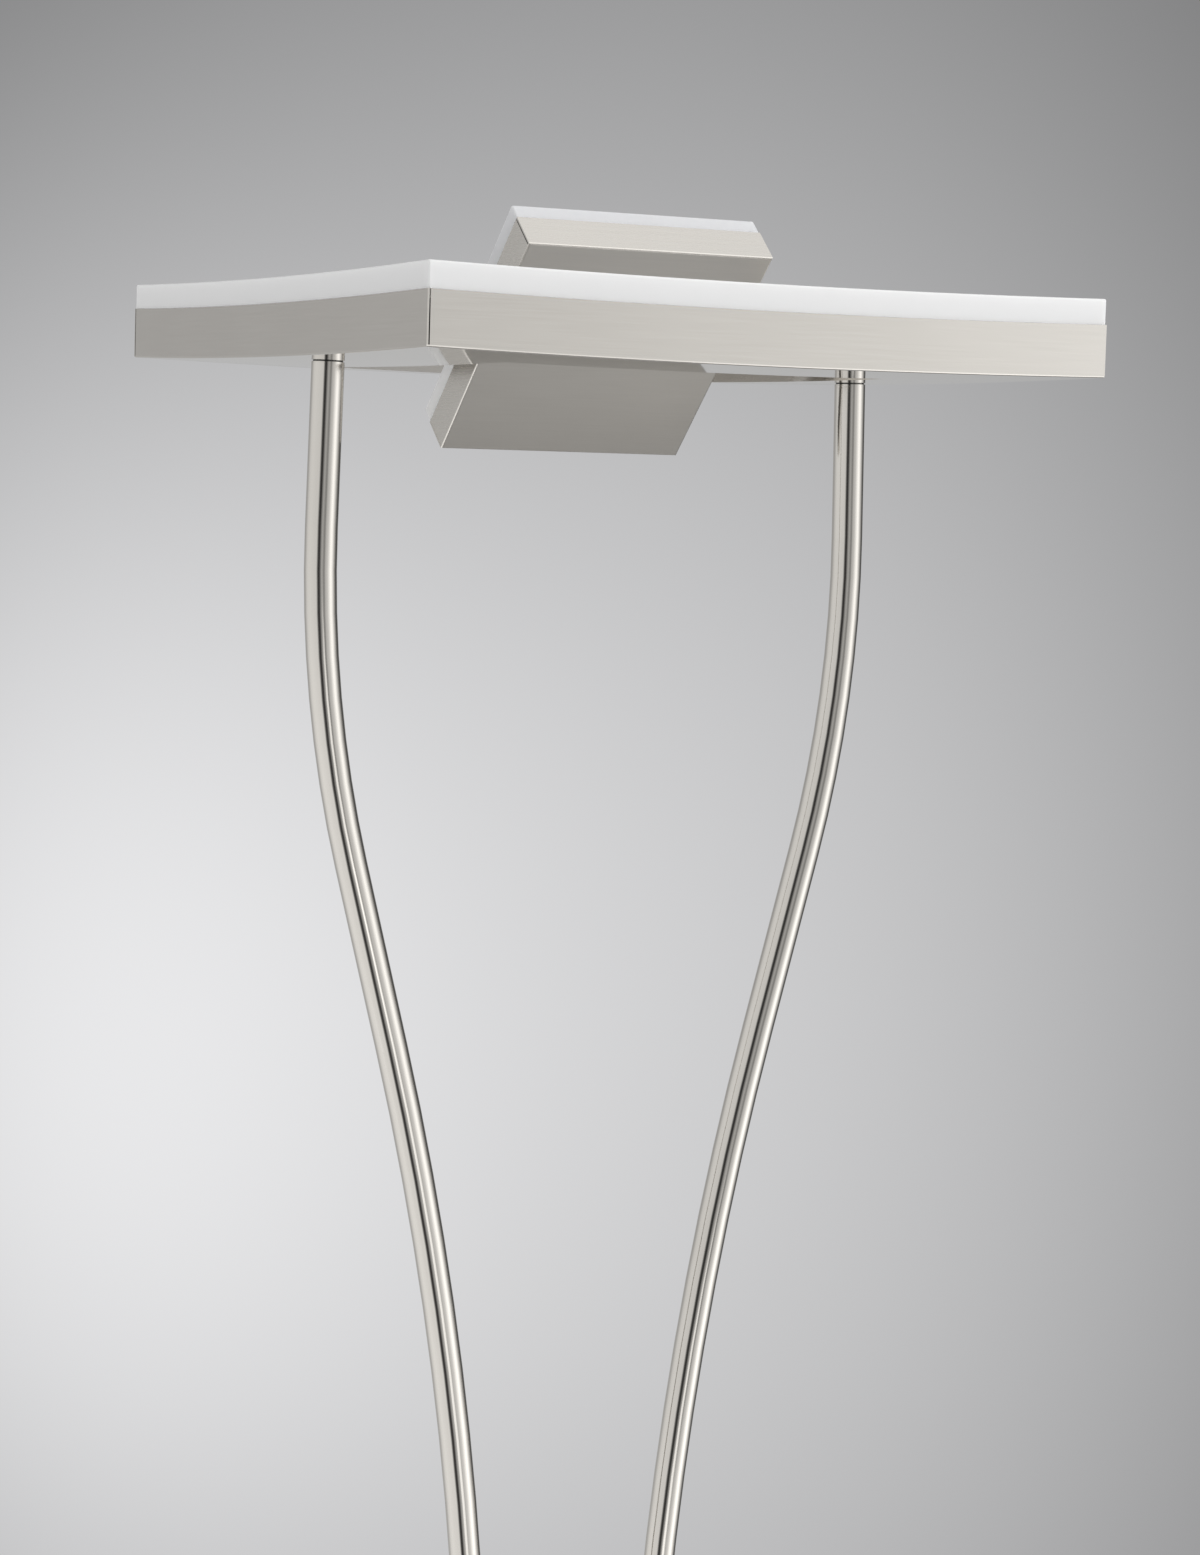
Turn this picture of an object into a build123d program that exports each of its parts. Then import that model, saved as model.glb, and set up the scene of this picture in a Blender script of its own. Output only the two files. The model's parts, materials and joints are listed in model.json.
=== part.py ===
"""Torchiere floor lamp: a dished square ring head on two S-curved tubes, with a tilting lamp panel.

Millimetres, +Z up, origin on the floor under the middle of the foot.
X runs from tube to tube, and +Y is the back, where the cord comes in.
"""
import os
from math import asin, cos, radians, sin, sqrt, tan

from build123d import *

os.makedirs("parts", exist_ok=True)

# Head frame: levels are counted from the lowest point of the dished underside
head_height = 1736.0
head_side = 355.6
bar_width = 76.2
frame_metal_height = 25.0
frame_lens_height = 12.3
dish_radius = 7700.0
frame_sheet = 0.9
corner_seam = 0.6
fold_radius = 0.9

# Opal lenses
lens_inset = 0.3
panel_lens_inset = 0.1
lens_wall = 2.4
lens_edge_radius = 0.9
lens_corner_radius = 1.0
skirt_wall = 1.4
skirt_depth = 4.0
skirt_clearance = 0.15
skirt_notch = 26.0

# Light source of the ring
carrier_level = 15.0
carrier_sheet = 1.0
carrier_margin = 3.0
carrier_pivot_notch = 44.0
carrier_notch_depth = 22.0
standoff_flats = 7.0
standoff_edge = 17.8
screw_diameter = 3.0
screw_head_diameter = 6.0
screw_head_height = 2.0
screw_reach = 6.0
screw_clearance = 0.2
board_width = 20.0
board_end_gap = 4.7
board_thickness = 1.2
led_side = 5.0
led_height = 0.8
leds_per_board = 8
driver_length = 150.0
driver_width = 40.0
driver_height = 11.0

# Lamp panel, tilted about the X axis through its middle
panel_side = 134.0
panel_metal_depth = 19.05
panel_lens_depth = 8.9
panel_sheet = 0.9
panel_tilt = 46.75
axis_level = 16.6
axis_depth = 9.0
panel_board_side = 108.0
panel_board_thickness = 1.6
panel_leds_per_row = 5
panel_led_pitch = 20.0

# Pivots of the panel
arm_diameter = 12.0
journal_diameter = 8.0
panel_stub_diameter = 6.0
wire_bore = 3.6
pivot_clearance = 0.05
running_gap = 0.3
bushing_flange_diameter = 17.0
bushing_flange = 1.5
bushing_body_diameter = 11.9
bushing_reach = 3.0
friction_washer = 1.2
tab_washer = 1.2
washer_diameter = 18.0
tab_reach = 13.0
tab_width = 4.0
stop_post_diameter = 3.0
stop_post_radius = 11.5
lock_nut_height = 6.0
lock_nut_flats = 13.0
panel_nut_height = 4.0
panel_nut_flats = 10.0
thread_end = 1.5
seat_clearance = 0.03

# Tubes
tube_diameter = 15.875
tube_wall = 1.2
tube_top_x = 146.2
tube_low_x = 48.0
upper_knee_drop = 160.5
lower_knee_drop = 544.0
upper_bend_radius = 594.0
lower_bend_radius = 1696.0
section_joint_drop = 900.0
coupler_length = 60.0
collar_height = 0.4
collar_inset = 0.7
insert_length = 22.0
nipple_diameter = 9.8
nipple_bore = 6.5
nipple_grip = 16.0
nut_height = 5.0
nut_flats = 14.0
flat_washer = 1.5
flat_washer_diameter = 20.0
fit_clearance = 0.04
hole_clearance = 0.2

# Foot
base_side = 279.4
base_height = 22.0
base_sheet = 1.2
base_corner_radius = 4.0
base_edge_radius = 1.5
base_rim_lift = 0.8
base_pad_thickness = 2.5
weight_gap = 0.5
pocket_diameter = 34.0
pocket_depth = 11.0
cord_channel = 9.0
base_collar_diameter = 25.4
base_collar_height = 10.0
base_collar_edge = 1.5
cord_bore = 6.5
bushing_neck_diameter = 8.4
cord_flange_diameter = 12.0
cord_flange = 2.0
cord_neck_reach = 7.0

# Values worked out from those above
opening_side = head_side - 2 * bar_width
bar_middle = (head_side - bar_width) / 2
frame_inside = head_side - 2 * frame_sheet
opening_outside = opening_side + 2 * frame_sheet
panel_inside = panel_side - 2 * panel_sheet
board_length = 2 * (bar_middle - board_width / 2 - board_end_gap)
standoff_pitch = head_side - 2 * standoff_edge
tube_bore = tube_diameter - 2 * tube_wall
tube_lean = asin(tube_top_x / dish_radius)
arm_start = panel_side / 2
arm_end = opening_side / 2 - bushing_flange - running_gap
bushing_end = opening_side / 2 + frame_sheet + bushing_reach
tab_washer_start = bushing_end + seat_clearance + friction_washer
lock_nut_start = tab_washer_start + tab_washer
weight_top = base_height - base_sheet
weight_side = base_side - 2 * (base_sheet + weight_gap)
pocket_top = base_pad_thickness + pocket_depth
cord_level = base_pad_thickness + cord_channel / 2
SIDES = {"left": -1, "right": 1}


def dish_rise(radius):
    """Height of the dished underside over its lowest point, at a distance from the middle."""
    return dish_radius - sqrt(dish_radius**2 - radius**2)


def dished(outline, low, high):
    """Upright prism of a plan outline, between two levels that follow the dish."""
    inner, outer = opening_side / 4, head_side * 0.75
    middle = (inner + outer) / 2

    def level_points(level):
        return [(r, head_height + level + dish_rise(r)) for r in (inner, middle, outer)]

    with BuildPart() as prism:
        with BuildSketch(Plane.XZ):
            with BuildLine():
                bottom = ThreePointArc(*level_points(low))
                top = ThreePointArc(*level_points(high))
                Line(bottom @ 0, top @ 0)
                Line(bottom @ 1, top @ 1)
            make_face()
        revolve(axis=Axis.Z)
        with BuildSketch(Plane.XY.offset(head_height + low)):
            add(outline)
        extrude(amount=high - low + dish_rise(outer), mode=Mode.INTERSECT)
    return prism.part


def square_ring(outer, inner):
    """Plan outline of a square ring about the middle."""
    with BuildSketch() as ring:
        Rectangle(outer, outer)
        Rectangle(inner, inner, mode=Mode.SUBTRACT)
    return ring.sketch


def rounded_ring(outer, inner, radius):
    """Plan outline of a square ring whose outer corners are rounded."""
    with BuildSketch() as ring:
        RectangleRounded(outer, outer, radius)
        Rectangle(inner, inner, mode=Mode.SUBTRACT)
    return ring.sketch


def keep(builder, name):
    """Name a finished piece and write it."""
    builder.part.label = name
    export_step(builder.part, f"parts/{name}.step")


def seat_plane(side):
    """Plane on the tray's underside at a tube, square to the dish, with Z up into the tray."""
    origin = (side * tube_top_x, 0, head_height + dish_rise(tube_top_x))
    x_dir = (cos(tube_lean), 0, side * sin(tube_lean))
    z_dir = (-side * sin(tube_lean), 0, cos(tube_lean))
    return Plane(origin=origin, x_dir=x_dir, z_dir=z_dir)


def foot_plane(side):
    """Level plane on the foot's top at a tube, with Z pointing down into the foot."""
    return Plane(origin=(side * tube_low_x, 0, base_height), x_dir=(1, 0, 0), z_dir=(0, 0, -1))


def pivot_plane(side, distance):
    """Plane across the tilt axis, with Z pointing outwards along it, at a distance from the middle."""
    origin = (side * distance, 0, head_height + axis_level)
    turn = radians(panel_tilt)
    return Plane(origin=origin, x_dir=(0, side * cos(turn), -side * sin(turn)), z_dir=(side, 0, 0))


def panel_plane(depth):
    """Plane of the tilted panel at a depth from its metal back, with Z out of the lens."""
    turn = radians(panel_tilt)
    tilted = Plane(
        origin=(0, 0, head_height + axis_level),
        x_dir=(1, 0, 0),
        z_dir=(0, sin(turn), cos(turn)),
    )
    return tilted.offset(depth - axis_depth)


def is_outer_fold(edge):
    """Whether an edge lies on the dished underside at the outside of the ring."""
    middle = edge.position_at(0.5)
    points = [middle, edge.position_at(0), edge.position_at(1)]
    rises = [dish_rise((p.X**2 + p.Y**2) ** 0.5) for p in points]
    on_dish = all(abs(p.Z - head_height - rise) < seat_clearance for p, rise in zip(points, rises))
    return on_dish and max(abs(middle.X), abs(middle.Y)) > bar_middle


# Frame tray: a ring channel with folded outer walls, whose open corner seams run the same way round
tray_shell = dished(square_ring(head_side, opening_side), 0, frame_metal_height)
tray_channel = dished(
    square_ring(frame_inside, opening_outside), frame_sheet, frame_metal_height + frame_sheet
)
bushing_hole = bushing_body_diameter + 2 * fit_clearance
with BuildPart() as frame_tray:
    add(tray_shell)
    add(tray_channel, mode=Mode.SUBTRACT)
    outer_folds = frame_tray.edges().filter_by(is_outer_fold)
    fillet(outer_folds, fold_radius)
    seam_level = head_height + dish_rise(head_side * sqrt(0.5)) + frame_sheet
    with BuildSketch(Plane.XY.offset(seam_level)):
        with PolarLocations((head_side - frame_sheet) / 2, 4):
            with Locations((0, (corner_seam - frame_inside) / 2)):
                Rectangle(2 * frame_sheet, corner_seam)
    extrude(amount=2 * frame_metal_height, mode=Mode.SUBTRACT)
    for side in SIDES.values():
        with BuildSketch(seat_plane(side)):
            Circle(nipple_diameter / 2 + hole_clearance)
        extrude(amount=2 * frame_sheet, both=True, mode=Mode.SUBTRACT)
        with BuildSketch(pivot_plane(side, opening_side / 2)):
            Circle(bushing_hole / 2)
        extrude(amount=2 * frame_sheet, both=True, mode=Mode.SUBTRACT)
keep(frame_tray, "frame_tray")

# Frame lens: an opal channel that stands on the tray's edges, with skirts inside its walls
lens_outer = head_side - 2 * lens_inset
lens_inner = opening_side + 2 * lens_inset
lens_top = frame_metal_height + frame_lens_height
outer_skirt = frame_inside - 2 * skirt_clearance
inner_skirt = opening_outside + 2 * skirt_clearance
lens_outline = rounded_ring(lens_outer, lens_inner, lens_corner_radius)
lens_shell = dished(lens_outline, frame_metal_height, lens_top)
lens_channel = dished(
    square_ring(lens_outer - 2 * lens_wall, lens_inner + 2 * lens_wall),
    frame_metal_height - skirt_depth,
    lens_top - lens_wall,
)
skirts = [
    dished(square_ring(outer_skirt, outer_skirt - 2 * skirt_wall), frame_metal_height - skirt_depth,
           frame_metal_height + lens_wall),
    dished(square_ring(inner_skirt + 2 * skirt_wall, inner_skirt), frame_metal_height - skirt_depth,
           frame_metal_height + lens_wall),
]
with BuildPart() as frame_lens:
    add(lens_shell)
    add(lens_channel, mode=Mode.SUBTRACT)
    for skirt in skirts:
        add(skirt)
    with BuildSketch(Plane.XY.offset(head_height + frame_metal_height - 2 * skirt_depth)):
        Rectangle(opening_outside + 4 * lens_wall, skirt_notch)
    extrude(amount=2 * skirt_depth, mode=Mode.SUBTRACT)
    rim_level = head_height + lens_top
    rims = frame_lens.edges().filter_by(lambda edge: edge.center().Z > rim_level - lens_wall / 2)
    fillet(rims, lens_edge_radius)
keep(frame_lens, "frame_lens")

# Carrier of the ring's light source: a flat plate on standoffs in the corners of the tray
carrier_plane = Plane.XY.offset(head_height + carrier_level)
board_plane = carrier_plane.offset(carrier_sheet)
led_plane = board_plane.offset(board_thickness)
with BuildSketch() as standoff_outline:
    with GridLocations(standoff_pitch, standoff_pitch, 2, 2):
        RegularPolygon(standoff_flats / 2, 6, major_radius=False)
standoff_bodies = dished(standoff_outline.sketch, frame_sheet, carrier_level)
with BuildPart() as carrier_standoffs:
    add(standoff_bodies)
    split(bisect_by=carrier_plane, keep=Keep.BOTTOM)
    with BuildSketch(carrier_plane):
        with GridLocations(standoff_pitch, standoff_pitch, 2, 2):
            Circle((screw_diameter + screw_clearance) / 2)
    extrude(amount=-screw_reach - screw_clearance, mode=Mode.SUBTRACT)
keep(carrier_standoffs, "carrier_standoffs")

with BuildPart() as led_carrier:
    with BuildSketch(carrier_plane):
        add(square_ring(frame_inside - 2 * carrier_margin, opening_outside + 2 * carrier_margin))
        with PolarLocations(opening_outside / 2, 2):
            Rectangle(2 * carrier_notch_depth, carrier_pivot_notch, mode=Mode.SUBTRACT)
        with GridLocations(standoff_pitch, standoff_pitch, 2, 2):
            Circle(screw_diameter / 2 + screw_clearance, mode=Mode.SUBTRACT)
    extrude(amount=carrier_sheet)
keep(led_carrier, "led_carrier")

with BuildPart() as carrier_screws:
    with BuildSketch(board_plane):
        with GridLocations(standoff_pitch, standoff_pitch, 2, 2):
            Circle(screw_head_diameter / 2)
    extrude(amount=screw_head_height)
    with BuildSketch(board_plane):
        with GridLocations(standoff_pitch, standoff_pitch, 2, 2):
            Circle(screw_diameter / 2)
    extrude(amount=-carrier_sheet - screw_reach)
keep(carrier_screws, "carrier_screws")

# Light boards of the ring, with their rows of light packages
with BuildPart() as frame_led_boards:
    with BuildSketch(board_plane):
        with PolarLocations(bar_middle, 4):
            Rectangle(board_width, board_length)
    extrude(amount=board_thickness)
    with BuildSketch(led_plane):
        with PolarLocations(bar_middle, 4):
            with GridLocations(board_width, board_length / leds_per_board, 1, leds_per_board):
                Rectangle(led_side, led_side)
    extrude(amount=led_height)
keep(frame_led_boards, "frame_led_boards")

# Driver of the light sources, under the carrier in the back bar
with BuildSketch() as driver_outline:
    with Locations((0, bar_middle)):
        RectangleRounded(driver_length, driver_width, carrier_margin)
driver_case = dished(driver_outline.sketch, frame_sheet, frame_sheet + driver_height)
with BuildPart() as led_driver:
    add(driver_case)
keep(led_driver, "led_driver")

# Panel tray: a folded square tray with a corner seam at both ends of each side wall
panel_normal = Axis((0, 0, 0), panel_plane(0).z_dir)
with BuildPart() as panel_tray:
    with BuildSketch(panel_plane(0)):
        Rectangle(panel_side, panel_side)
    extrude(amount=panel_metal_depth)
    panel_back = panel_tray.faces().sort_by(panel_normal)[0]
    fillet(panel_back.edges(), fold_radius)
    with BuildSketch(panel_plane(panel_sheet)):
        Rectangle(panel_inside, panel_inside)
    extrude(amount=panel_metal_depth, mode=Mode.SUBTRACT)
    with BuildSketch(panel_plane(panel_sheet)):
        with GridLocations(panel_side - panel_sheet, panel_inside - corner_seam, 2, 2):
            Rectangle(2 * panel_sheet, corner_seam)
    extrude(amount=panel_metal_depth, mode=Mode.SUBTRACT)
    for side in SIDES.values():
        with BuildSketch(pivot_plane(side, panel_side / 2)):
            Circle(panel_stub_diameter / 2 + hole_clearance)
        extrude(amount=2 * panel_sheet, both=True, mode=Mode.SUBTRACT)
keep(panel_tray, "panel_tray")

# Panel lens, with a skirt inside the tray's walls that is open at the pivots
panel_lens_side = panel_side - 2 * panel_lens_inset
panel_skirt = panel_inside - 2 * skirt_clearance
with BuildPart() as panel_lens:
    with BuildSketch(panel_plane(panel_metal_depth)):
        RectangleRounded(panel_lens_side, panel_lens_side, lens_corner_radius)
    extrude(amount=panel_lens_depth)
    with BuildSketch(panel_plane(panel_metal_depth - skirt_depth)):
        Rectangle(panel_skirt, panel_skirt)
        Rectangle(panel_skirt, skirt_notch, mode=Mode.SUBTRACT)
    extrude(amount=skirt_depth)
    with BuildSketch(panel_plane(panel_metal_depth - skirt_depth)):
        Rectangle(panel_skirt - 2 * skirt_wall, panel_skirt - 2 * skirt_wall)
    extrude(amount=skirt_depth, mode=Mode.SUBTRACT)
    with BuildSketch(panel_plane(panel_metal_depth)):
        Rectangle(panel_lens_side - 2 * lens_wall, panel_lens_side - 2 * lens_wall)
    extrude(amount=panel_lens_depth - lens_wall, mode=Mode.SUBTRACT)
    lens_front = panel_lens.faces().sort_by(panel_normal)[-1]
    fillet(lens_front.edges(), lens_edge_radius)
keep(panel_lens, "panel_lens")

# Light board on the floor of the panel
with BuildPart() as panel_led_board:
    with BuildSketch(panel_plane(panel_sheet)):
        Rectangle(panel_board_side, panel_board_side)
    extrude(amount=panel_board_thickness)
    with BuildSketch(panel_plane(panel_sheet + panel_board_thickness)):
        with GridLocations(panel_led_pitch, panel_led_pitch, panel_leds_per_row, panel_leds_per_row):
            Rectangle(led_side, led_side)
    extrude(amount=led_height)
keep(panel_led_board, "panel_led_board")

# Hollow pivots: an arm on each side of the panel, whose journal turns in a bushing of the frame
stub_start = arm_start - panel_sheet - panel_nut_height - thread_end
journal_end = lock_nut_start + lock_nut_height + thread_end
shaft_steps = [
    (stub_start, arm_start, panel_stub_diameter),
    (arm_start, arm_end, arm_diameter),
    (arm_end, journal_end, journal_diameter),
]
bushing_steps = [
    (opening_side / 2 - bushing_flange, opening_side / 2, bushing_flange_diameter),
    (opening_side / 2, bushing_end, bushing_body_diameter),
]
for name, side in SIDES.items():
    with BuildPart() as pivot_shaft:
        for start, end, diameter in shaft_steps:
            with BuildSketch(pivot_plane(side, start)):
                Circle(diameter / 2)
            extrude(amount=end - start)
        with BuildSketch(pivot_plane(side, stub_start)):
            Circle(wire_bore / 2)
        extrude(amount=journal_end - stub_start, mode=Mode.SUBTRACT)
    keep(pivot_shaft, f"pivot_shaft_{name}")

    with BuildPart() as pivot_bushing:
        for start, end, diameter in bushing_steps:
            with BuildSketch(pivot_plane(side, start)):
                Circle(diameter / 2)
            extrude(amount=end - start)
        with BuildSketch(pivot_plane(side, opening_side / 2 - bushing_flange)):
            Circle(journal_diameter / 2 + pivot_clearance)
        extrude(amount=bushing_end - opening_side / 2 + bushing_flange, mode=Mode.SUBTRACT)
    keep(pivot_bushing, f"pivot_bushing_{name}")

# Friction washers, stop washers and nuts of the pivots
with BuildPart() as pivot_friction_washers:
    for side in SIDES.values():
        with BuildSketch(pivot_plane(side, bushing_end + seat_clearance)):
            Circle(washer_diameter / 2)
            Circle(journal_diameter / 2 + fit_clearance, mode=Mode.SUBTRACT)
        extrude(amount=friction_washer)
keep(pivot_friction_washers, "pivot_friction_washers")

with BuildPart() as pivot_tab_washers:
    for side in SIDES.values():
        with BuildSketch(pivot_plane(side, tab_washer_start)):
            Circle(washer_diameter / 2)
            Rectangle(tab_width, tab_reach, align=(Align.CENTER, Align.MIN))
            Circle(journal_diameter / 2 + fit_clearance, mode=Mode.SUBTRACT)
        extrude(amount=tab_washer)
keep(pivot_tab_washers, "pivot_tab_washers")

with BuildPart() as pivot_lock_nuts:
    for side in SIDES.values():
        with BuildSketch(pivot_plane(side, lock_nut_start)):
            RegularPolygon(lock_nut_flats / 2, 6, major_radius=False)
            Circle(journal_diameter / 2 + fit_clearance, mode=Mode.SUBTRACT)
        extrude(amount=lock_nut_height)
keep(pivot_lock_nuts, "pivot_lock_nuts")

with BuildPart() as pivot_panel_nuts:
    for side in SIDES.values():
        with BuildSketch(pivot_plane(side, arm_start - panel_sheet - panel_nut_height)):
            RegularPolygon(panel_nut_flats / 2, 6, major_radius=False)
            Circle(panel_stub_diameter / 2 + fit_clearance, mode=Mode.SUBTRACT)
        extrude(amount=panel_nut_height)
keep(pivot_panel_nuts, "pivot_panel_nuts")

# Stop posts under the journals, which catch the tabs at both ends of the travel
stop_post_start = opening_outside / 2
with BuildPart() as pivot_stop_posts:
    for side in SIDES.values():
        post_origin = (side * stop_post_start, 0, head_height + axis_level - stop_post_radius)
        with BuildSketch(Plane(origin=post_origin, x_dir=(0, side, 0), z_dir=(side, 0, 0))):
            Circle(stop_post_diameter / 2)
        extrude(amount=lock_nut_start - stop_post_start)
keep(pivot_stop_posts, "pivot_stop_posts")

# Upper tubes: square to the dish at the top, then an S curve down to an upright run
joint_level = head_height - section_joint_drop
for name, side in SIDES.items():
    tube_top = seat_plane(side).offset(-collar_height).origin
    knee_fall = upper_knee_drop + dish_rise(tube_top_x)
    route_points = [
        (tube_top.X, tube_top.Z),
        (side * (tube_top_x + knee_fall * tan(tube_lean)), head_height - upper_knee_drop),
        (side * tube_low_x, head_height - lower_knee_drop),
        (side * tube_low_x, joint_level),
    ]
    with BuildPart() as upper_tube:
        with BuildLine(Plane.XZ) as route:
            FilletPolyline(*route_points, radius=[upper_bend_radius, lower_bend_radius])
        with BuildSketch(seat_plane(side).offset(-collar_height)):
            Circle(tube_diameter / 2)
            Circle(tube_bore / 2, mode=Mode.SUBTRACT)
        sweep(path=route.line)
    keep(upper_tube, f"tube_{name}_upper")

    with BuildPart() as lower_tube:
        with BuildSketch(foot_plane(side)):
            Circle(tube_diameter / 2)
            Circle(tube_bore / 2, mode=Mode.SUBTRACT)
        extrude(amount=base_height - joint_level)
    keep(lower_tube, f"tube_{name}_lower")

    with BuildPart() as coupler:
        with BuildSketch(foot_plane(side).offset(base_height - joint_level)):
            Circle(tube_bore / 2 - fit_clearance)
            Circle(nipple_bore / 2, mode=Mode.SUBTRACT)
        extrude(amount=coupler_length / 2, both=True)
    keep(coupler, f"coupler_{name}")

    with BuildPart() as collar:
        with BuildSketch(seat_plane(side)):
            Circle(tube_diameter / 2 - collar_inset)
            Circle(nipple_diameter / 2 + hole_clearance, mode=Mode.SUBTRACT)
        extrude(amount=-collar_height)
    keep(collar, f"collar_{name}")

    with BuildPart() as base_collar:
        with BuildSketch(foot_plane(side)):
            Circle(base_collar_diameter / 2)
        extrude(amount=-base_collar_height)
        chamfer(base_collar.edges().sort_by(Axis.Z)[-1], base_collar_edge)
        with BuildSketch(foot_plane(side)):
            Circle(tube_diameter / 2 + fit_clearance)
        extrude(amount=-base_collar_height, mode=Mode.SUBTRACT)
    keep(base_collar, f"base_collar_{name}")

# Threaded ends: inserts in the tubes, hollow nipples, washers and nuts, at the tray and at the foot
tube_ends = {
    "top": {side: seat_plane(side).offset(-collar_height) for side in SIDES.values()},
    "bottom": {side: foot_plane(side) for side in SIDES.values()},
}
clamped = {
    "top": collar_height + frame_sheet + seat_clearance,
    "bottom": base_height - pocket_top,
}
for end_name, planes in tube_ends.items():
    washer_seat = clamped[end_name]
    nut_seat = washer_seat + flat_washer

    with BuildPart() as inserts:
        for plane in planes.values():
            with BuildSketch(plane):
                Circle(tube_bore / 2 - fit_clearance)
                Circle(nipple_diameter / 2 + fit_clearance, mode=Mode.SUBTRACT)
            extrude(amount=-insert_length)
    keep(inserts, f"{end_name}_inserts")

    with BuildPart() as nipples:
        for plane in planes.values():
            with BuildSketch(plane.offset(-nipple_grip)):
                Circle(nipple_diameter / 2)
                Circle(nipple_bore / 2, mode=Mode.SUBTRACT)
            extrude(amount=nipple_grip + nut_seat + nut_height + thread_end)
    keep(nipples, f"{end_name}_nipples")

    with BuildPart() as washers:
        for plane in planes.values():
            with BuildSketch(plane.offset(washer_seat)):
                Circle(flat_washer_diameter / 2)
                Circle(nipple_diameter / 2 + hole_clearance, mode=Mode.SUBTRACT)
            extrude(amount=flat_washer)
    keep(washers, f"{end_name}_washers")

    with BuildPart() as nuts:
        for plane in planes.values():
            with BuildSketch(plane.offset(nut_seat)):
                RegularPolygon(nut_flats / 2, 6, major_radius=False)
                Circle(nipple_diameter / 2 + fit_clearance, mode=Mode.SUBTRACT)
            extrude(amount=nut_height)
    keep(nuts, f"{end_name}_nuts")

# Foot: a pressed cover over an iron weight, on a felt pad
cord_inlet_plane = Plane(origin=(0, base_side / 2, cord_level), x_dir=(1, 0, 0), z_dir=(0, 1, 0))
with BuildPart() as base_cover:
    with BuildSketch(Plane.XY.offset(base_rim_lift)):
        RectangleRounded(base_side, base_side, base_corner_radius)
    extrude(amount=base_height - base_rim_lift)
    fillet(base_cover.faces().sort_by(Axis.Z)[-1].edges(), base_edge_radius)
    with BuildSketch(Plane.XY.offset(base_rim_lift)):
        RectangleRounded(
            base_side - 2 * base_sheet, base_side - 2 * base_sheet, base_corner_radius - base_sheet
        )
    extrude(amount=weight_top - base_rim_lift, mode=Mode.SUBTRACT)
    for side in SIDES.values():
        with BuildSketch(foot_plane(side)):
            Circle(nipple_diameter / 2 + hole_clearance)
        extrude(amount=2 * base_sheet, mode=Mode.SUBTRACT)
    with BuildSketch(cord_inlet_plane):
        Circle(bushing_neck_diameter / 2 + fit_clearance)
    extrude(amount=-2 * base_sheet, mode=Mode.SUBTRACT)
keep(base_cover, "base_cover")

with BuildPart() as base_weight:
    with BuildSketch(Plane.XY.offset(base_pad_thickness)):
        RectangleRounded(weight_side, weight_side, base_corner_radius)
    extrude(amount=weight_top - base_pad_thickness)
    for side in SIDES.values():
        with BuildSketch(foot_plane(side)):
            Circle(nipple_diameter / 2 + hole_clearance)
        extrude(amount=base_height, mode=Mode.SUBTRACT)
        with BuildSketch(Plane.XY.offset(base_pad_thickness)):
            with Locations((side * tube_low_x, 0)):
                Circle(pocket_diameter / 2)
        extrude(amount=pocket_depth, mode=Mode.SUBTRACT)
    with BuildSketch(Plane.XY.offset(base_pad_thickness)):
        Rectangle(2 * tube_low_x, cord_channel)
        Rectangle(cord_channel, weight_side / 2, align=(Align.CENTER, Align.MIN))
    extrude(amount=cord_channel, mode=Mode.SUBTRACT)
keep(base_weight, "base_weight")

with BuildPart() as base_pad:
    with BuildSketch():
        RectangleRounded(weight_side, weight_side, base_corner_radius)
    extrude(amount=base_pad_thickness)
keep(base_pad, "base_pad")

# Inlet of the cord, in the back wall of the foot
with BuildPart() as cord_bushing:
    with BuildSketch(cord_inlet_plane):
        Circle(cord_flange_diameter / 2)
    extrude(amount=cord_flange)
    with BuildSketch(cord_inlet_plane):
        Circle(bushing_neck_diameter / 2)
    extrude(amount=-cord_neck_reach)
    with BuildSketch(cord_inlet_plane.offset(cord_flange)):
        Circle(cord_bore / 2)
    extrude(amount=-cord_flange - cord_neck_reach, mode=Mode.SUBTRACT)
keep(cord_bushing, "cord_bushing")
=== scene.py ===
"""Studio view of the torchiere floor lamp: finishes, light, floor and camera. Metres."""
import json
from math import atan, cos, radians, sin

import bpy
from mathutils import Matrix, Vector


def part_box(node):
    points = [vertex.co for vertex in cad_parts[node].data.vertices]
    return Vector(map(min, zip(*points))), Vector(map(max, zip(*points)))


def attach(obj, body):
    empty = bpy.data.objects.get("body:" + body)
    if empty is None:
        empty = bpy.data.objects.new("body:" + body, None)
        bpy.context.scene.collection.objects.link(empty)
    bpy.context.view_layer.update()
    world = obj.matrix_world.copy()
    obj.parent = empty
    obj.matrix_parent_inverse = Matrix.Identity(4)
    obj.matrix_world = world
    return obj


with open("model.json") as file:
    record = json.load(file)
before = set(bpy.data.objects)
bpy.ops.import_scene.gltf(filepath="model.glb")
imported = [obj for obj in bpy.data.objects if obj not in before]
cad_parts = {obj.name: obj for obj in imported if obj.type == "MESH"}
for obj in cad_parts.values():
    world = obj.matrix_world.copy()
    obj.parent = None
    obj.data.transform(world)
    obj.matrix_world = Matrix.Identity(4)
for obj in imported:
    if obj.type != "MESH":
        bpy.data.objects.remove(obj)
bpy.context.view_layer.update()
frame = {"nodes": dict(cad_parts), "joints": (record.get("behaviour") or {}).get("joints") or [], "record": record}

# Lowest point of the head's dished underside, in the middle of its opening
HEAD_MIDDLE = Vector((0.0, 0.0, 1.736))

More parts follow.
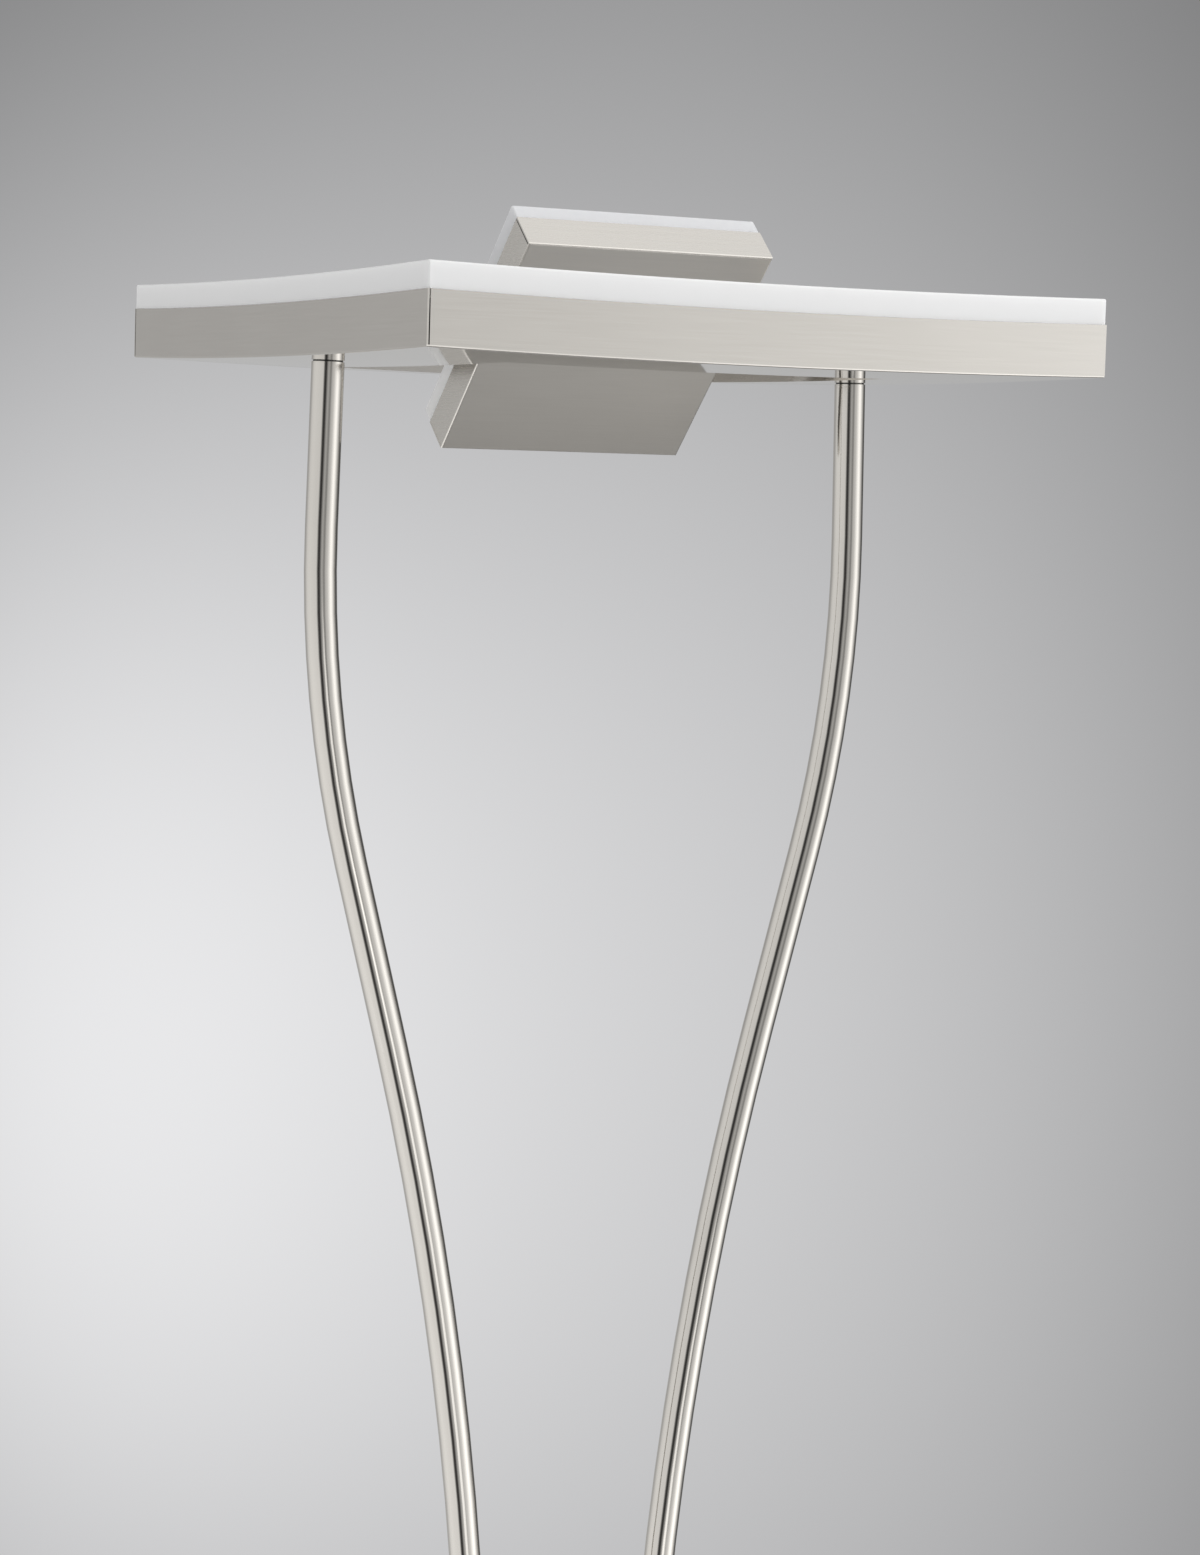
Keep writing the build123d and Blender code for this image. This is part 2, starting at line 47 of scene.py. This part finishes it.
# Direction from the head to the camera in degrees, its distance, and the photograph's frame in pixels
CAMERA_AZIMUTH = -27.814
CAMERA_ELEVATION = -1.443
CAMERA_ROLL = 1.675
CAMERA_DISTANCE = 1.7716
FOCAL_PIXELS = 3549.3
HEAD_SHIFT_PIXELS = (-12.7, -401.7)
FRAME_PIXELS = (1200, 1555)
SENSOR = 36.0

# Dish of the head's underside
DISH_RADIUS = 7.7

# The panel at rest: its tilt axis, the direction down its slope and the normal of its lens
PANEL_TILT = radians(46.75)
TILT_AXIS = Vector(frame["joints"][0]["pos_m"])
PANEL_DOWN = Vector((0.0, cos(PANEL_TILT), -sin(PANEL_TILT)))
PANEL_NORMAL = Vector((0.0, sin(PANEL_TILT), cos(PANEL_TILT)))

RIGHT = Vector((1.0, 0.0, 0.0))
UP = Vector((0.0, 0.0, 1.0))


# Node helpers
def new_material(name):
    """An empty node material, its tree and its output."""
    material = bpy.data.materials.new(name)
    material.use_nodes = True
    tree = material.node_tree
    tree.nodes.clear()
    return material, tree, tree.nodes.new("ShaderNodeOutputMaterial")


def add_node(tree, kind, **settings):
    """A node with its properties set."""
    node = tree.nodes.new(kind)
    for key, value in settings.items():
        setattr(node, key, value)
    return node


def coordinate(tree, kind):
    """Texture coordinate of a kind: Object, Normal or Generated."""
    return add_node(tree, "ShaderNodeTexCoord").outputs[kind]


def math_node(tree, operation, first, second=None):
    """A Math node fed by sockets or numbers; gives its output."""
    node = add_node(tree, "ShaderNodeMath", operation=operation)
    for socket, value in zip(node.inputs, (first, second)):
        if value is None:
            continue
        if isinstance(value, (int, float)):
            socket.default_value = value
        else:
            tree.links.new(value, socket)
    return node.outputs[0]


def span(tree, value, low, high, to_low=0.0, to_high=1.0):
    """A value mapped smoothly from one span to another."""
    node = add_node(tree, "ShaderNodeMapRange", interpolation_type="SMOOTHSTEP")
    tree.links.new(value, node.inputs["Value"])
    for name, number in (("From Min", low), ("From Max", high), ("To Min", to_low), ("To Max", to_high)):
        node.inputs[name].default_value = number
    return node.outputs["Result"]


def mixed(tree, factor, first, second):
    """A value that goes from the first to the second as the factor goes from 0 to 1."""
    change = math_node(tree, "SUBTRACT", second, first)
    return math_node(tree, "ADD", first, math_node(tree, "MULTIPLY", factor, change))


def dot(tree, vector, axis):
    """Share of a vector along an axis."""
    node = add_node(tree, "ShaderNodeVectorMath", operation="DOT_PRODUCT")
    tree.links.new(vector, node.inputs[0])
    node.inputs[1].default_value = axis
    return node.outputs["Value"]


def ramp(tree, value, stops):
    """A colour ramp through (place, grey or colour) stops; gives its colour."""
    node = add_node(tree, "ShaderNodeValToRGB")
    elements = node.color_ramp.elements
    while len(elements) > 1:
        elements.remove(elements[-1])
    for index, (place, tone) in enumerate(stops):
        element = elements[0] if index == 0 else elements.new(place)
        element.position = place
        element.color = (tone, tone, tone, 1.0) if isinstance(tone, float) else (*tone, 1.0)
    tree.links.new(value, node.inputs["Fac"])
    return node.outputs["Color"]


def noise(tree, vector, scale, stretch=(1.0, 1.0, 1.0), detail=4.0):
    """Noise over coordinates, drawn out along an axis by a small stretch; gives its value."""
    mapping = add_node(tree, "ShaderNodeMapping")
    mapping.inputs["Scale"].default_value = stretch
    tree.links.new(vector, mapping.inputs["Vector"])
    texture = add_node(tree, "ShaderNodeTexNoise")
    texture.inputs["Scale"].default_value = scale
    texture.inputs["Detail"].default_value = detail
    tree.links.new(mapping.outputs["Vector"], texture.inputs["Vector"])
    return texture.outputs["Fac"]


# Scales of the brushed grain, and its stretch along the lines
SHEET_GRAIN = 1500.0
SHEET_STRETCH = (0.02, 0.02, 1.0)
TUBE_GRAIN = 26.0
TUBE_STRETCH = (1.0, 1.0, 0.08)

# Soft clouds of tone on the plate, and the span of a noise over which a finish goes from dark to light
CLOUD_SCALE = 9.0
TONE_SPAN = (0.3, 0.7)

# Change of roughness between the brushed lines, and depths of the relief
LINE_SPAN = (0.25, 0.75)
LINE_ROUGHNESS = (-0.02, 0.03)
LINE_DEPTH = 0.0002
SPECKLE_DEPTH = 0.0003

# Opal acrylic: its roughness, share and reach of the light that spreads in it, and its faint clouds
OPAL_ROUGHNESS = 0.28
OPAL_SPREAD = 0.35
OPAL_REACH = 0.006
OPAL_CLOUD_SCALE = 30.0
OPAL_CLOUD = 0.06

# The panel's lens: spans of the normals of its sides and front, light on the front, and reach down its sides
LENS_SIDE_SPAN = (0.5, 0.9)
LENS_FRONT_SPAN = (0.6, 0.95)
LENS_FRONT_LIGHT = 0.35
LENS_SIDE_REACH = 0.03


def sheet_grain(tree):
    """Fine level lines on the faces of a sheet."""
    return noise(tree, coordinate(tree, "Object"), SHEET_GRAIN, SHEET_STRETCH)


def tube_grain(tree):
    """Fine lines along a tube, by the direction of its surface and the height."""
    facing = add_node(tree, "ShaderNodeSeparateXYZ")
    tree.links.new(add_node(tree, "ShaderNodeNewGeometry").outputs["Normal"], facing.inputs[0])
    place = add_node(tree, "ShaderNodeSeparateXYZ")
    tree.links.new(coordinate(tree, "Object"), place.inputs[0])
    spot = add_node(tree, "ShaderNodeCombineXYZ")
    tree.links.new(facing.outputs["X"], spot.inputs["X"])
    tree.links.new(facing.outputs["Y"], spot.inputs["Y"])
    tree.links.new(place.outputs["Z"], spot.inputs["Z"])
    return noise(tree, spot.outputs[0], TUBE_GRAIN, TUBE_STRETCH, detail=1.0)


def two_tones(dark, light):
    """Ramp stops from a dark tone to a light one over the span of a noise."""
    return tuple(zip(TONE_SPAN, (dark, light)))


def add_relief(tree, shader, height, strength, depth):
    """Bump on a shader's normal."""
    relief = add_node(tree, "ShaderNodeBump")
    relief.inputs["Strength"].default_value = strength
    relief.inputs["Distance"].default_value = depth
    tree.links.new(height, relief.inputs["Height"])
    tree.links.new(relief.outputs["Normal"], shader.inputs["Normal"])


def satin_metal(name, dark, light, roughness, grain, bump, low_faces=(-0.8, -0.98, 0.35)):
    """Brushed plate with fine grain, soft clouds of tone, and a gloss of its own on faces that look down.

    The last value holds the heights of the normals between which the gloss changes, and the roughness there
    as a share of that elsewhere.
    """
    material, tree, output = new_material(name)
    shader = add_node(tree, "ShaderNodeBsdfPrincipled")
    shader.inputs["Metallic"].default_value = 1.0
    lines = grain(tree)
    clouds = noise(tree, coordinate(tree, "Object"), CLOUD_SCALE, detail=2.0)
    blend = mixed(tree, 0.5, lines, clouds)
    tree.links.new(ramp(tree, blend, two_tones(dark, light)), shader.inputs["Base Color"])
    start, end, share = low_faces
    polish = span(tree, dot(tree, coordinate(tree, "Normal"), UP), start, end, 1.0, share)
    rough = span(tree, lines, *LINE_SPAN, *(roughness + change for change in LINE_ROUGHNESS))
    tree.links.new(math_node(tree, "MULTIPLY", rough, polish), shader.inputs["Roughness"])
    add_relief(tree, shader, lines, bump, LINE_DEPTH)
    tree.links.new(shader.outputs["BSDF"], output.inputs["Surface"])
    return material


def opal(name, low_tone, high_tone, light):
    """Opal acrylic, white and softly glossy, from a low to a high tone by the light over the piece."""
    material, tree, output = new_material(name)
    shader = add_node(tree, "ShaderNodeBsdfPrincipled")
    cloud = noise(tree, coordinate(tree, "Object"), OPAL_CLOUD_SCALE, detail=1.0)
    rise = math_node(tree, "ADD", light(tree), math_node(tree, "MULTIPLY", cloud, OPAL_CLOUD))
    tree.links.new(ramp(tree, rise, ((0.0, low_tone), (1.0, high_tone))), shader.inputs["Base Color"])
    shader.inputs["Roughness"].default_value = OPAL_ROUGHNESS
    shader.inputs["Subsurface Weight"].default_value = OPAL_SPREAD
    shader.inputs["Subsurface Radius"].default_value = (OPAL_REACH, OPAL_REACH, OPAL_REACH)
    shader.inputs["Subsurface Scale"].default_value = 1.0
    tree.links.new(shader.outputs["BSDF"], output.inputs["Surface"])
    return material


def plain(name, dark, light, roughness, metallic=0.0, grain=400.0, bump=0.1):
    """A moulded, cast, pressed or plated surface with fine speckle."""
    material, tree, output = new_material(name)
    shader = add_node(tree, "ShaderNodeBsdfPrincipled")
    shader.inputs["Metallic"].default_value = metallic
    shader.inputs["Roughness"].default_value = roughness
    speckle = noise(tree, coordinate(tree, "Object"), grain)
    tree.links.new(ramp(tree, speckle, two_tones(dark, light)), shader.inputs["Base Color"])
    add_relief(tree, shader, speckle, bump, SPECKLE_DEPTH)
    tree.links.new(shader.outputs["BSDF"], output.inputs["Surface"])
    return material


def ring_lens_painted_shade(tree):
    """Painted shade on the ring's lens: its height, from 0, darker, at the tray to 1, lighter, at its top,
    following the dish.
    """
    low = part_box("frame_tray")[1].z
    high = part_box("frame_lens")[1].z
    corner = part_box("frame_tray")[1].xy.length
    split = add_node(tree, "ShaderNodeSeparateXYZ")
    tree.links.new(coordinate(tree, "Object"), split.inputs[0])
    squares = [math_node(tree, "MULTIPLY", split.outputs[axis], split.outputs[axis]) for axis in "XY"]
    across = math_node(tree, "ADD", *squares)
    fall = math_node(tree, "MULTIPLY", math_node(tree, "SUBTRACT", across, corner**2), -0.5 / DISH_RADIUS)
    level = math_node(tree, "ADD", split.outputs["Z"], fall)
    return math_node(tree, "DIVIDE", math_node(tree, "SUBTRACT", level, low), high - low)


def panel_lens_light(tree):
    """Light over the panel's lens: 0 on its rim, more on its front, and 1 low on its sides."""
    normal = coordinate(tree, "Normal")
    front = span(tree, dot(tree, normal, PANEL_NORMAL), *LENS_FRONT_SPAN, 0.0, LENS_FRONT_LIGHT)
    side = span(tree, math_node(tree, "ABSOLUTE", dot(tree, normal, RIGHT)), *LENS_SIDE_SPAN)
    middle = TILT_AXIS.dot(PANEL_DOWN)
    low = span(tree, dot(tree, coordinate(tree, "Object"), PANEL_DOWN), middle, middle + LENS_SIDE_REACH)
    return math_node(tree, "MAXIMUM", math_node(tree, "MULTIPLY", side, low), front)


# Finishes of the pieces, by material slot and, where a piece has its own, by node
NICKEL_DARK = (0.61, 0.585, 0.545)
NICKEL_LIGHT = (0.65, 0.625, 0.585)
sheet_metal = satin_metal("satin_nickel_sheet", NICKEL_DARK, NICKEL_LIGHT, 0.14, sheet_grain, 0.02)
panel_metal = satin_metal(
    "satin_nickel_panel", NICKEL_DARK, NICKEL_LIGHT, 0.27, sheet_grain, 0.02, low_faces=(-0.4, -0.6, 1.22)
)
tube_metal = satin_metal("satin_nickel_tube", NICKEL_DARK, NICKEL_LIGHT, 0.08, tube_grain, 0.0)
# Seat rings under the tray, set back from the tubes: near-black, a painted shadow for the fine shadow gap there
collar_painted_shadow = satin_metal(
    "collar_painted_shadow_gap", (0.05, 0.05, 0.05), (0.09, 0.09, 0.085), 0.3, tube_grain, 0.0
)
# The ring's lens is painted lighter at its top and darker down at the tray, for light that falls from above
ring_opal = opal("opal_ring", 0.88, 0.95, ring_lens_painted_shade)
panel_opal = opal("opal_panel", (0.78, 0.785, 0.805), (0.94, 0.94, 0.94), panel_lens_light)
SLOT_FINISH = {
    "satin_nickel": sheet_metal,
    "opal_lens": ring_opal,
    "nylon": plain("natural_nylon", (0.72, 0.71, 0.67), (0.82, 0.81, 0.77), 0.45),
    "black_plastic": plain("black_moulding", (0.02, 0.02, 0.02), (0.04, 0.04, 0.042), 0.5),
    "white_plastic": plain("white_moulding", (0.74, 0.74, 0.73), (0.84, 0.84, 0.83), 0.42),
    "iron": plain(
        "cast_iron", (0.05, 0.05, 0.052), (0.12, 0.115, 0.11), 0.6, metallic=0.8, grain=160.0, bump=0.4
    ),
    "felt": plain("pressed_felt", (0.02, 0.02, 0.022), (0.06, 0.06, 0.062), 0.95, grain=700.0, bump=0.6),
    "aluminium_sheet": satin_metal(
        "mill_aluminium", (0.74, 0.74, 0.75), (0.82, 0.82, 0.83), 0.33, sheet_grain, 0.03
    ),
    "light_board": plain("board_mask", (0.80, 0.80, 0.78), (0.88, 0.88, 0.86), 0.4),
    "brass": plain("turned_brass", (0.55, 0.42, 0.19), (0.68, 0.53, 0.27), 0.25, metallic=1.0),
    "zinc_steel": plain("zinc_plate", (0.50, 0.51, 0.53), (0.62, 0.63, 0.66), 0.32, metallic=1.0),
}
TUBE_NODES = (
    "tube_left_upper", "tube_right_upper", "tube_left_lower", "tube_right_lower",
    "base_collar_left", "base_collar_right",
)
NODE_FINISH = {name: tube_metal for name in TUBE_NODES}
NODE_FINISH["collar_left"] = collar_painted_shadow
NODE_FINISH["collar_right"] = collar_painted_shadow
NODE_FINISH["panel_tray"] = panel_metal
NODE_FINISH["panel_lens"] = panel_opal

for part in frame["record"]["subparts"]:
    node = frame["nodes"][part["node"]]
    finish = NODE_FINISH.get(part["node"], SLOT_FINISH[part["material_slot"]])
    if not node.material_slots:
        node.data.materials.append(finish)
    for material_slot in node.material_slots:
        material_slot.material = finish


# Lower corner seams of the panel's tray, filled flush with solder
PANEL_HALF = 0.067
PANEL_SHEET = 0.0009
SEAM_WIDTH = 0.0006
BEAD_EDGE = 0.0001
# Ends of a seam along the panel's normal, counted from the tilt axis
SEAM_ENDS = (-0.0081, 0.01005)


def add_seam_beads():
    """Two slim beads with eased edges, at the lower ends of the tray's side walls."""
    low = PANEL_HALF - PANEL_SHEET
    high = low - SEAM_WIDTH
    outline = (
        (low, high),
        (PANEL_HALF - BEAD_EDGE, high),
        (PANEL_HALF, high + BEAD_EDGE),
        (PANEL_HALF, low - BEAD_EDGE),
        (PANEL_HALF - BEAD_EDGE, low),
        (low, low),
    )
    count = len(outline)
    points = []
    faces = []
    for side in (-1, 1):
        first = len(points)
        for end in SEAM_ENDS:
            middle = TILT_AXIS + PANEL_NORMAL * end
            points += [middle + RIGHT * side * across + PANEL_DOWN * fall for across, fall in outline]
        walls = [(i, (i + 1) % count, (i + 1) % count + count, i + count) for i in range(count)]
        rings = [tuple(range(count - 1, -1, -1)), tuple(range(count, 2 * count)), *walls]
        faces += [tuple(first + i for i in (ring if side > 0 else ring[::-1])) for ring in rings]
    mesh = bpy.data.meshes.new("panel_seam_beads")
    mesh.from_pydata(points, [], faces)
    mesh.materials.append(panel_metal)
    beads = bpy.data.objects.new("panel_seam_beads", mesh)
    bpy.context.scene.collection.objects.link(beads)
    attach(beads, "panel")


add_seam_beads()


# Camera, at the photograph's viewing angle
def camera_axes():
    """Place of the camera and its right, up and back directions."""
    azimuth = radians(CAMERA_AZIMUTH)
    elevation = radians(CAMERA_ELEVATION)
    roll = radians(CAMERA_ROLL)
    back = Vector((sin(azimuth) * cos(elevation), -cos(azimuth) * cos(elevation), sin(elevation)))
    right = Vector((cos(azimuth), sin(azimuth), 0.0))
    up = back.cross(right)
    yaw = atan(HEAD_SHIFT_PIXELS[0] / FOCAL_PIXELS)
    pitch = atan(HEAD_SHIFT_PIXELS[1] / FOCAL_PIXELS)
    place = HEAD_MIDDLE + back * CAMERA_DISTANCE
    pitched_back = back * cos(pitch) - up * sin(pitch)
    pitched_up = up * cos(pitch) + back * sin(pitch)
    turned_back = pitched_back * cos(yaw) + right * sin(yaw)
    turned_right = right * cos(yaw) - pitched_back * sin(yaw)
    rolled_right = turned_right * cos(roll) + pitched_up * sin(roll)
    rolled_up = pitched_up * cos(roll) - turned_right * sin(roll)
    return place, rolled_right, rolled_up, turned_back


def add_camera():
    """The view camera, whose focal length follows the frame's longer side."""
    place, right, up, back = camera_axes()
    data = bpy.data.cameras.new("view")
    data.sensor_width = SENSOR
    data.lens = FOCAL_PIXELS * SENSOR / max(FRAME_PIXELS)
    camera = bpy.data.objects.new("view", data)
    turn = Matrix((right, up, back)).transposed().to_4x4()
    camera.matrix_world = Matrix.Translation(place) @ turn
    bpy.context.scene.collection.objects.link(camera)
    bpy.context.scene.camera = camera


add_camera()


# Tones of the studio round the horizon, in degrees from the camera's side, positive to its right
STUDIO_TONES = (
    # Backdrop, and a broad reflector on the left
    (-180, 0.49), (-140, 0.44), (-126, 0.55), (-105, 0.84), (-85, 0.93), (-25, 0.84),
    # Dark gap beside the camera, and a weak light to its right
    (-15, 0.08), (-4, 0.03), (12, 0.55), (29, 0.28),
    # Key softbox on the right
    (39, 0.64), (54, 0.81), (64, 1.14), (79, 1.58), (90, 1.40), (100, 0.94),
    # Black behind it, and the backdrop again
    (123, 0.24), (144, 0.04), (165, 0.38), (180, 0.49),
)
BRIGHTEST_TONE = 1.6

# Tones overhead and underfoot, gain of the horizon's tones towards the ground, and the heights of each blend
OVERHEAD_TONE = 1.05
OVERHEAD_BLEND = (0.45, 0.8)
UNDERFOOT_TONE = 0.28
UNDERFOOT_BLEND = (-0.66, -0.85)
LOW_GAIN = 0.18
LOW_GAIN_BLEND = (0.05, -0.35)

# Shares of the light for matt surfaces: at the horizon, overhead, and on the left down to the ground
MATT_HORIZON = 1.08
MATT_OVERHEAD = 0.78
MATT_OVERHEAD_BLEND = (0.3, 0.6)
MATT_LEFT = 0.8
MATT_LEFT_BLEND = (-0.1, -0.8)
MATT_GROUND_BLEND = (0.0, -0.3)

# Soft lights off the horizon: azimuth as above, elevation, cosines of their rim and core, and what they add
SOFT_LIGHTS = (
    # High on the right
    (66, 45, 0.88, 0.97, 0.6),
    # Low on the left and on the right
    (-68, -54, 0.90, 0.97, 0.8),
    (80, -55, 0.945, 0.985, 0.32),
    # Small and low, to the right of the camera
    (19, -11, 0.989, 0.998, 0.8),
    (26, -20, 0.985, 0.998, 1.0),
)


def add_studio():
    """World light: tones round the horizon, a bright ceiling, soft lights, and a backdrop for the camera."""
    world = bpy.data.worlds.new("studio")
    bpy.context.scene.world = world
    world.use_nodes = True
    tree = world.node_tree
    tree.nodes.clear()
    direction = coordinate(tree, "Generated")
    azimuth = radians(CAMERA_AZIMUTH)
    toward = Vector((sin(azimuth), -cos(azimuth), 0.0))
    rightward = Vector((cos(azimuth), sin(azimuth), 0.0))
    across = dot(tree, direction, rightward)
    height = dot(tree, direction, UP)

    turn = math_node(tree, "ARCTAN2", across, dot(tree, direction, toward))
    place = math_node(tree, "ADD", math_node(tree, "DIVIDE", turn, radians(360)), 0.5)
    stops = [((angle + 180) / 360, tone / BRIGHTEST_TONE) for angle, tone in STUDIO_TONES]
    horizon = math_node(tree, "MULTIPLY", ramp(tree, place, stops), BRIGHTEST_TONE)
    low_gain = span(tree, height, *LOW_GAIN_BLEND, 1.0, 1.0 + LOW_GAIN)
    light = math_node(tree, "MULTIPLY", horizon, low_gain)
    light = mixed(tree, span(tree, height, *OVERHEAD_BLEND), light, OVERHEAD_TONE)
    light = mixed(tree, span(tree, height, *UNDERFOOT_BLEND), light, UNDERFOOT_TONE)
    for swing, rise, rim, core, gain in SOFT_LIGHTS:
        level = toward * cos(radians(swing)) + rightward * sin(radians(swing))
        middle = level * cos(radians(rise)) + UP * sin(radians(rise))
        light = math_node(tree, "ADD", light, span(tree, dot(tree, direction, middle), rim, core, 0.0, gain))

    matt = span(tree, across, *MATT_LEFT_BLEND, 1.0, MATT_LEFT)
    matt = math_node(tree, "MAXIMUM", matt, span(tree, height, *MATT_GROUND_BLEND))
    overhead = span(tree, height, *MATT_OVERHEAD_BLEND, MATT_HORIZON, MATT_OVERHEAD)
    matt = math_node(tree, "MULTIPLY", matt, overhead)
    paths = add_node(tree, "ShaderNodeLightPath").outputs
    light = math_node(tree, "MULTIPLY", light, mixed(tree, paths["Is Glossy Ray"], matt, 1.0))

    glow = add_node(tree, "ShaderNodeBackground")
    glow.inputs["Color"].default_value = (1.0, 1.0, 1.0, 1.0)
    tree.links.new(light, glow.inputs["Strength"])
    screen = add_node(tree, "ShaderNodeBackground")
    screen.inputs["Color"].default_value = BACKDROP_TINT
    tree.links.new(backdrop_tone(tree, direction), screen.inputs["Strength"])
    choose = add_node(tree, "ShaderNodeMixShader")
    tree.links.new(paths["Is Camera Ray"], choose.inputs["Fac"])
    tree.links.new(glow.outputs[0], choose.inputs[1])
    tree.links.new(screen.outputs[0], choose.inputs[2])
    tree.links.new(choose.outputs[0], add_node(tree, "ShaderNodeOutputWorld").inputs["Surface"])


# Two wide pale pools of light on a dark grey backdrop, each by its gain, and its middle and reach in pixels
BACKDROP_GREY = 0.093
BACKDROP_TINT = (0.995, 0.995, 1.009, 1.0)
BACKDROP_POOLS = ((0.49, (675, 1020), (765, 1175)), (0.46, (-5, 1055), (465, 765)))
# Plain grey away from the backdrop, the cosines between which it takes over, and the least depth of a view
STUDIO_GREY = 0.44
STUDIO_BLEND = (0.93, 0.8)
LEAST_DEPTH = 0.3


def backdrop_tone(tree, direction):
    """Tone of the backdrop behind the lamp, and a plain grey elsewhere."""
    _, right, up, back = camera_axes()
    facing = dot(tree, direction, -back)
    depth = math_node(tree, "MAXIMUM", facing, LEAST_DEPTH)
    across = math_node(tree, "DIVIDE", dot(tree, direction, right), depth)
    down = math_node(tree, "DIVIDE", dot(tree, direction, -up), depth)
    tone = BACKDROP_GREY
    for gain, middle, reach in BACKDROP_POOLS:
        spread = 0.0
        for shift, pixel, size, width in zip((across, down), middle, FRAME_PIXELS, reach):
            offset = math_node(tree, "SUBTRACT", shift, (pixel - size / 2) / FOCAL_PIXELS)
            offset = math_node(tree, "DIVIDE", offset, width / FOCAL_PIXELS)
            spread = math_node(tree, "ADD", math_node(tree, "MULTIPLY", offset, offset), spread)
        pool = math_node(tree, "EXPONENT", math_node(tree, "MULTIPLY", spread, -1.0))
        tone = math_node(tree, "ADD", math_node(tree, "MULTIPLY", pool, gain), tone)
    return mixed(tree, span(tree, facing, *STUDIO_BLEND), tone, STUDIO_GREY)


add_studio()


# Pale floor disc just under the foot, which fades out towards its rim
FLOOR_RADIUS = 2.6
FLOOR_SIDES = 128
FLOOR_LEVEL = -0.0005
FLOOR_FADE_START = 0.45 * FLOOR_RADIUS
FLOOR_ROUGHNESS = 0.85
# Its tone for the light that it throws back, and as it is seen
FLOOR_TONES = (0.34, 0.8)


def add_floor():
    """Pale studio floor under the foot."""
    bpy.ops.mesh.primitive_circle_add(
        vertices=FLOOR_SIDES, radius=FLOOR_RADIUS, fill_type="NGON", location=(0.0, 0.0, FLOOR_LEVEL)
    )
    floor = bpy.context.active_object
    floor.name = "studio_floor"
    material, tree, output = new_material("studio_floor")
    reach = add_node(tree, "ShaderNodeVectorMath", operation="LENGTH")
    tree.links.new(coordinate(tree, "Object"), reach.inputs[0])
    shader = add_node(tree, "ShaderNodeBsdfPrincipled")
    seen = add_node(tree, "ShaderNodeLightPath").outputs["Is Camera Ray"]
    tree.links.new(ramp(tree, seen, tuple(enumerate(FLOOR_TONES))), shader.inputs["Base Color"])
    shader.inputs["Roughness"].default_value = FLOOR_ROUGHNESS
    clear = add_node(tree, "ShaderNodeBsdfTransparent")
    fade = add_node(tree, "ShaderNodeMixShader")
    edge = span(tree, reach.outputs["Value"], FLOOR_FADE_START, FLOOR_RADIUS)
    tree.links.new(edge, fade.inputs["Fac"])
    tree.links.new(shader.outputs[0], fade.inputs[1])
    tree.links.new(clear.outputs[0], fade.inputs[2])
    tree.links.new(fade.outputs[0], output.inputs["Surface"])
    floor.data.materials.append(material)
    floor.visible_glossy = False


add_floor()


# Softbox at the front right, over the head
SOFTBOX_PLACE = Vector((0.8, -0.9, 2.3))
SOFTBOX_WIDTH = 0.8
SOFTBOX_POWER = 3.5


def add_softbox():
    """A square area light that looks at the head."""
    data = bpy.data.lights.new("front_softbox", "AREA")
    data.shape = "SQUARE"
    data.size = SOFTBOX_WIDTH
    data.energy = SOFTBOX_POWER
    softbox = bpy.data.objects.new("front_softbox", data)
    softbox.location = SOFTBOX_PLACE
    softbox.rotation_euler = (HEAD_MIDDLE - SOFTBOX_PLACE).to_track_quat("-Z", "Y").to_euler()
    softbox.visible_glossy = False
    softbox.visible_camera = False
    bpy.context.scene.collection.objects.link(softbox)


add_softbox()

bpy.context.scene.view_settings.view_transform = "Standard"
